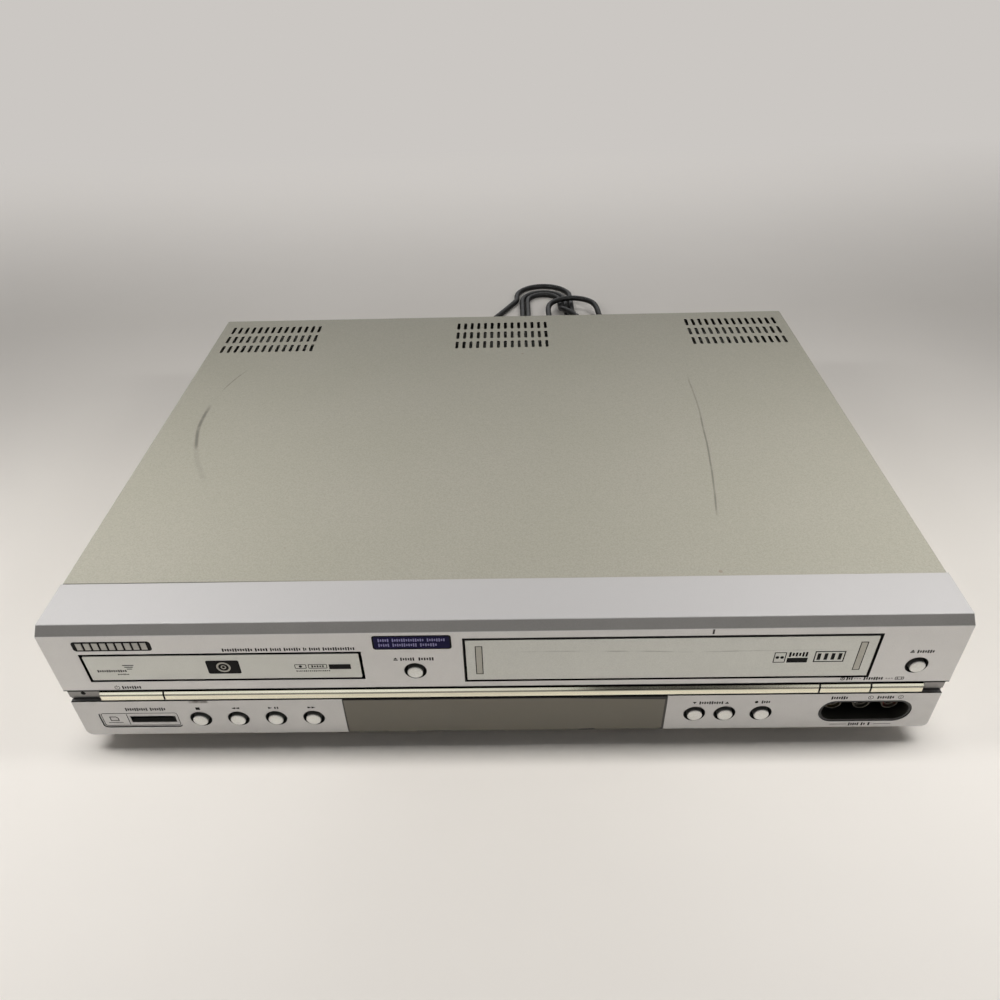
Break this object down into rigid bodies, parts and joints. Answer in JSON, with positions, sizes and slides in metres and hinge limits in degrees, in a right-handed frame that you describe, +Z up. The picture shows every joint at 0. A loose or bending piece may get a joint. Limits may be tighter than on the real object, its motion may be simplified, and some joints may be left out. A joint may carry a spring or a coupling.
{
  "type": "dvd vcr combo player",
  "caption": "Low silver home video deck with a disc tray, an inward-swinging cassette door, round push buttons, a bright trim strip and a free power cord.",
  "frame": {"origin": "bottom centre of the cabinet's bounding box, on the surface under the feet, without the power cord and its bush", "axes": "+X to the viewer's right along the front, +Y to the back, +Z up"},
  "size_m": [0.4336, 0.5895, 0.085],
  "materials": {
    "silver_plastic": "silver metallic paint on moulded plastic, satin",
    "cover_paint": "textured silver paint on sheet steel",
    "sheet_steel": "zinc-plated sheet steel",
    "rear_paint": "plated sheet steel",
    "screw_steel": "plated steel screws",
    "foot_rubber": "black rubber",
    "trim_chrome": "warm mirror-finished trim",
    "smoked_window": "smoked clear plastic",
    "display_black": "dark display glass",
    "dark_plastic": "dark moulded plastic",
    "grey_plastic": "mid-grey moulded plastic",
    "jack_metal": "plated brass",
    "green_board": "green circuit board",
    "tan_board": "tan circuit board",
    "coil_copper": "varnished windings and laminations",
    "button_silver": "bright plated plastic",
    "white_plastic": "white moulded plastic",
    "tray_plastic": "dark grey moulded plastic",
    "cast_grey": "grey moulded subframe",
    "polished_steel": "ground and polished steel",
    "drum_aluminium": "turned aluminium",
    "black_rubber": "black rubber",
    "guide_brass": "brass",
    "cord_black": "black flexible plastic"
  },
  "bodies": {
    "chassis": {"bottom_chassis": "sheet_steel", "rear_panel": "rear_paint", "top_cover": "cover_paint", "cover_screws": "screw_steel", "feet": "foot_rubber", "front_fascia": "silver_plastic", "trim_strip": "trim_chrome", "display_window": "smoked_window", "display_module": "display_black", "card_slot": "grey_plastic", "jack_recess": "dark_plastic", "front_jacks": "jack_metal", "control_board": "green_board", "main_board": "green_board", "power_board": "tan_board", "transformer": "coil_copper", "tuner_module": "sheet_steel", "rear_jack_block": "dark_plastic", "rear_jacks": "jack_metal", "cord_bush": "cord_black", "loader_frame": "dark_plastic", "clamper_bridge": "sheet_steel", "deck_plate": "sheet_steel", "drum_base": "drum_aluminium", "tape_heads": "polished_steel", "power_cord_run": "cord_black", "power_cord_hank": "cord_black", "power_plug": "cord_black"},
    "tray": {"disc_tray": "tray_plastic", "tray_door": "silver_plastic"},
    "traverse": {"traverse_frame": "cast_grey", "guide_rods": "polished_steel"},
    "tray_gear": {"tray_gear": "white_plastic"},
    "pickup_sled": {"pickup_sled": "dark_plastic"},
    "lead_screw": {"lead_screw": "polished_steel"},
    "turntable": {"turntable": "dark_plastic"},
    "disc_clamper": {"disc_clamper": "white_plastic"},
    "cassette_door": {"cassette_door": "silver_plastic"},
    "carriage_slider": {"carriage_slider": "sheet_steel"},
    "cassette_holder": {"cassette_holder": "sheet_steel"},
    "head_drum_rotor": {"head_drum_rotor": "drum_aluminium"},
    "capstan": {"capstan": "polished_steel"},
    "pinch_arm": {"pinch_arm": "sheet_steel"},
    "pinch_roller": {"pinch_roller": "black_rubber"},
    "supply_reel": {"supply_reel": "tray_plastic"},
    "take_up_reel": {"take_up_reel": "tray_plastic"},
    "supply_guide": {"supply_guide": "guide_brass"},
    "take_up_guide": {"take_up_guide": "guide_brass"},
    "power_button": {"power_button": "trim_chrome"},
    "dvd_select_button": {"dvd_select_button": "trim_chrome"},
    "vcr_select_button": {"vcr_select_button": "trim_chrome"},
    "open_close_button": {"open_close_button": "button_silver"},
    "eject_button": {"eject_button": "button_silver"},
    "stop_button": {"stop_button": "button_silver"},
    "rewind_button": {"rewind_button": "button_silver"},
    "play_pause_button": {"play_pause_button": "button_silver"},
    "fast_forward_button": {"fast_forward_button": "button_silver"},
    "channel_down_button": {"channel_down_button": "button_silver"},
    "channel_up_button": {"channel_up_button": "button_silver"},
    "record_button": {"record_button": "button_silver"}
  },
  "joints": [
    {"name": "tray_slide", "type": "slide", "parent": "chassis", "child": "tray", "axis": [0, -1, 0], "range_m": [0, 0.137]},
    {"name": "tray_gear_spin", "type": "hinge", "parent": "chassis", "child": "tray_gear", "pos_m": [-0.08525, -0.1485, 0.054], "axis": [0, 0, 1], "range_deg": [-5, 660]},
    {"name": "traverse_tilt", "type": "hinge", "parent": "chassis", "child": "traverse", "pos_m": [-0.13225, -0.0005, 0.042], "axis": [1, 0, 0], "range_deg": [0, 5]},
    {"name": "pickup_slide", "type": "slide", "parent": "traverse", "child": "pickup_sled", "axis": [0, 1, 0], "range_m": [0, 0.033]},
    {"name": "lead_screw_spin", "type": "hinge", "parent": "traverse", "child": "lead_screw", "pos_m": [-0.09825, -0.0565, 0.0462], "axis": [0, 1, 0], "continuous": true},
    {"name": "turntable_spin", "type": "hinge", "parent": "traverse", "child": "turntable", "pos_m": [-0.13225, -0.0945, 0.055], "axis": [0, 0, 1], "continuous": true},
    {"name": "clamper_spin", "type": "hinge", "parent": "chassis", "child": "disc_clamper", "pos_m": [-0.13225, -0.0945, 0.066], "axis": [0, 0, 1], "continuous": true},
    {"name": "cassette_door_swing", "type": "hinge", "parent": "chassis", "child": "cassette_door", "pos_m": [0.079, -0.1623, 0.0738], "axis": [1, 0, 0], "range_deg": [0, 80], "stiffness_Nm_per_rad": 0.004, "springref_deg": -17.19},
    {"name": "carriage_in", "type": "slide", "parent": "chassis", "child": "carriage_slider", "axis": [0, 1, 0], "range_m": [0, 0.05]},
    {"name": "holder_drop", "type": "slide", "parent": "carriage_slider", "child": "cassette_holder", "axis": [0, 0, -1], "range_m": [0, 0.013]},
    {"name": "drum_spin", "type": "hinge", "parent": "chassis", "child": "head_drum_rotor", "pos_m": [0.079, 0.0495, 0.05], "axis": [0, 0, 1], "continuous": true},
    {"name": "capstan_spin", "type": "hinge", "parent": "chassis", "child": "capstan", "pos_m": [0.148, 0.0235, 0.03], "axis": [0, 0, 1], "continuous": true},
    {"name": "pinch_swing", "type": "hinge", "parent": "chassis", "child": "pinch_arm", "pos_m": [0.166, 0.0395, 0.035], "axis": [0, 0, 1], "range_deg": [0, 32]},
    {"name": "pinch_roller_spin", "type": "hinge", "parent": "pinch_arm", "child": "pinch_roller", "pos_m": [0.1495, 0.0395, 0.041], "axis": [0, 0, 1], "continuous": true},
    {"name": "supply_spin", "type": "hinge", "parent": "chassis", "child": "supply_reel", "pos_m": [0.0328, -0.0445, 0.035], "axis": [0, 0, 1], "continuous": true},
    {"name": "take_up_spin", "type": "hinge", "parent": "chassis", "child": "take_up_reel", "pos_m": [0.1252, -0.0445, 0.035], "axis": [0, 0, 1], "continuous": true},
    {"name": "supply_guide_slide", "type": "slide", "parent": "chassis", "child": "supply_guide", "axis": [0, 1, 0], "range_m": [0, 0.044]},
    {"name": "take_up_guide_slide", "type": "slide", "parent": "chassis", "child": "take_up_guide", "axis": [0, 1, 0], "range_m": [0, 0.044]},
    {"name": "power_press", "type": "slide", "parent": "chassis", "child": "power_button", "axis": [0, 1, 0], "range_m": [0, 0.001], "stiffness_N_per_m": 400},
    {"name": "dvd_select_press", "type": "slide", "parent": "chassis", "child": "dvd_select_button", "axis": [0, 1, 0], "range_m": [0, 0.001], "stiffness_N_per_m": 400},
    {"name": "vcr_select_press", "type": "slide", "parent": "chassis", "child": "vcr_select_button", "axis": [0, 1, 0], "range_m": [0, 0.001], "stiffness_N_per_m": 400},
    {"name": "open_close_press", "type": "slide", "parent": "chassis", "child": "open_close_button", "axis": [0, 1, 0], "range_m": [0, 0.001], "stiffness_N_per_m": 400},
    {"name": "eject_press", "type": "slide", "parent": "chassis", "child": "eject_button", "axis": [0, 1, 0], "range_m": [0, 0.001], "stiffness_N_per_m": 400},
    {"name": "stop_press", "type": "slide", "parent": "chassis", "child": "stop_button", "axis": [0, 1, 0], "range_m": [0, 0.001], "stiffness_N_per_m": 400},
    {"name": "rewind_press", "type": "slide", "parent": "chassis", "child": "rewind_button", "axis": [0, 1, 0], "range_m": [0, 0.001], "stiffness_N_per_m": 400},
    {"name": "play_pause_press", "type": "slide", "parent": "chassis", "child": "play_pause_button", "axis": [0, 1, 0], "range_m": [0, 0.001], "stiffness_N_per_m": 400},
    {"name": "fast_forward_press", "type": "slide", "parent": "chassis", "child": "fast_forward_button", "axis": [0, 1, 0], "range_m": [0, 0.001], "stiffness_N_per_m": 400},
    {"name": "channel_down_press", "type": "slide", "parent": "chassis", "child": "channel_down_button", "axis": [0, 1, 0], "range_m": [0, 0.001], "stiffness_N_per_m": 400},
    {"name": "channel_up_press", "type": "slide", "parent": "chassis", "child": "channel_up_button", "axis": [0, 1, 0], "range_m": [0, 0.001], "stiffness_N_per_m": 400},
    {"name": "record_press", "type": "slide", "parent": "chassis", "child": "record_button", "axis": [0, 1, 0], "range_m": [0, 0.001], "stiffness_N_per_m": 400}
  ],
  "couplings": [
    {"joint": "tray_gear_spin", "follows": "tray_slide", "rad_per_m": 83.333},
    {"joint": "lead_screw_spin", "follows": "pickup_slide", "rad_per_m": 2094.4},
    {"joint": "take_up_guide_slide", "follows": "supply_guide_slide", "ratio": 1}
  ]
}
